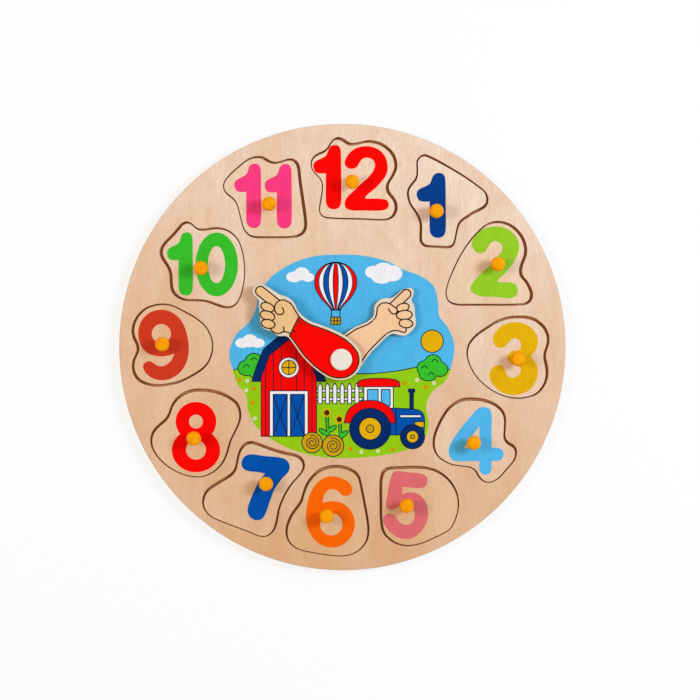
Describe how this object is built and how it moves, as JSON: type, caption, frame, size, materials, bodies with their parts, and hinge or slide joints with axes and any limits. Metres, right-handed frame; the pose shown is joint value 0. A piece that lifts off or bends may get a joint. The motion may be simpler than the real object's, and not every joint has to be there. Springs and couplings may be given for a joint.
{
  "type": "wooden clock puzzle",
  "caption": "Round wooden learning clock: lift-out number pieces with knobs lie in shaped recesses round two turning hands on a central pivot.",
  "frame": {"origin": "middle of the board's underside", "axes": "+Z out of the clock face, which lies face up; +Y towards twelve o'clock; +X towards three o'clock"},
  "size_m": [0.3, 0.3, 0.0205],
  "materials": {
    "panel_wood": "sanded birch plywood, clear matt lacquer",
    "back_wood": "sanded birch plywood, bare",
    "piece_wood": "sanded birch plywood, printed face, clear matt lacquer",
    "knob_paint": "smooth orange-yellow",
    "screw_steel": "zinc-plated",
    "hour_hand_wood": "plywood with printed face",
    "minute_hand_paint": "plywood with red printed face",
    "washer_fibre": "vulcanised fibre",
    "pivot_plastic": "satin white"
  },
  "bodies": {
    "board": {"back_board": "back_wood", "front_panel": "panel_wood", "pivot_button": "pivot_plastic", "pivot_retainer": "pivot_plastic", "lower_washer": "washer_fibre", "upper_washer": "washer_fibre"},
    "hour_arm": {"hour_hand": "hour_hand_wood"},
    "minute_arm": {"minute_hand": "minute_hand_paint"},
    "piece_1": {"puzzle_piece_1": "piece_wood", "knob_1": "knob_paint", "knob_screw_1": "screw_steel"},
    "piece_2": {"puzzle_piece_2": "piece_wood", "knob_2": "knob_paint", "knob_screw_2": "screw_steel"},
    "piece_3": {"puzzle_piece_3": "piece_wood", "knob_3": "knob_paint", "knob_screw_3": "screw_steel"},
    "piece_4": {"puzzle_piece_4": "piece_wood", "knob_4": "knob_paint", "knob_screw_4": "screw_steel"},
    "piece_5": {"puzzle_piece_5": "piece_wood", "knob_5": "knob_paint", "knob_screw_5": "screw_steel"},
    "piece_6": {"puzzle_piece_6": "piece_wood", "knob_6": "knob_paint", "knob_screw_6": "screw_steel"},
    "piece_7": {"puzzle_piece_7": "piece_wood", "knob_7": "knob_paint", "knob_screw_7": "screw_steel"},
    "piece_8": {"puzzle_piece_8": "piece_wood", "knob_8": "knob_paint", "knob_screw_8": "screw_steel"},
    "piece_9": {"puzzle_piece_9": "piece_wood", "knob_9": "knob_paint", "knob_screw_9": "screw_steel"},
    "piece_10": {"puzzle_piece_10": "piece_wood", "knob_10": "knob_paint", "knob_screw_10": "screw_steel"},
    "piece_11": {"puzzle_piece_11": "piece_wood", "knob_11": "knob_paint", "knob_screw_11": "screw_steel"},
    "piece_12": {"puzzle_piece_12": "piece_wood", "knob_12": "knob_paint", "knob_screw_12": "screw_steel"}
  },
  "joints": [
    {"name": "hour_hand_turn", "type": "hinge", "parent": "board", "child": "hour_arm", "pos_m": [-0.00075, -0.0084, 0.0106], "axis": [0, 0, -1], "continuous": true},
    {"name": "minute_hand_turn", "type": "hinge", "parent": "board", "child": "minute_arm", "pos_m": [-0.00075, -0.0084, 0.0147], "axis": [0, 0, -1], "continuous": true},
    {"name": "piece_1_lift", "type": "slide", "parent": "board", "child": "piece_1", "axis": [0, 0, 1], "range_m": [0, 0.03]},
    {"name": "piece_2_lift", "type": "slide", "parent": "board", "child": "piece_2", "axis": [0, 0, 1], "range_m": [0, 0.03]},
    {"name": "piece_3_lift", "type": "slide", "parent": "board", "child": "piece_3", "axis": [0, 0, 1], "range_m": [0, 0.03]},
    {"name": "piece_4_lift", "type": "slide", "parent": "board", "child": "piece_4", "axis": [0, 0, 1], "range_m": [0, 0.03]},
    {"name": "piece_5_lift", "type": "slide", "parent": "board", "child": "piece_5", "axis": [0, 0, 1], "range_m": [0, 0.03]},
    {"name": "piece_6_lift", "type": "slide", "parent": "board", "child": "piece_6", "axis": [0, 0, 1], "range_m": [0, 0.03]},
    {"name": "piece_7_lift", "type": "slide", "parent": "board", "child": "piece_7", "axis": [0, 0, 1], "range_m": [0, 0.03]},
    {"name": "piece_8_lift", "type": "slide", "parent": "board", "child": "piece_8", "axis": [0, 0, 1], "range_m": [0, 0.03]},
    {"name": "piece_9_lift", "type": "slide", "parent": "board", "child": "piece_9", "axis": [0, 0, 1], "range_m": [0, 0.03]},
    {"name": "piece_10_lift", "type": "slide", "parent": "board", "child": "piece_10", "axis": [0, 0, 1], "range_m": [0, 0.03]},
    {"name": "piece_11_lift", "type": "slide", "parent": "board", "child": "piece_11", "axis": [0, 0, 1], "range_m": [0, 0.03]},
    {"name": "piece_12_lift", "type": "slide", "parent": "board", "child": "piece_12", "axis": [0, 0, 1], "range_m": [0, 0.03]}
  ]
}
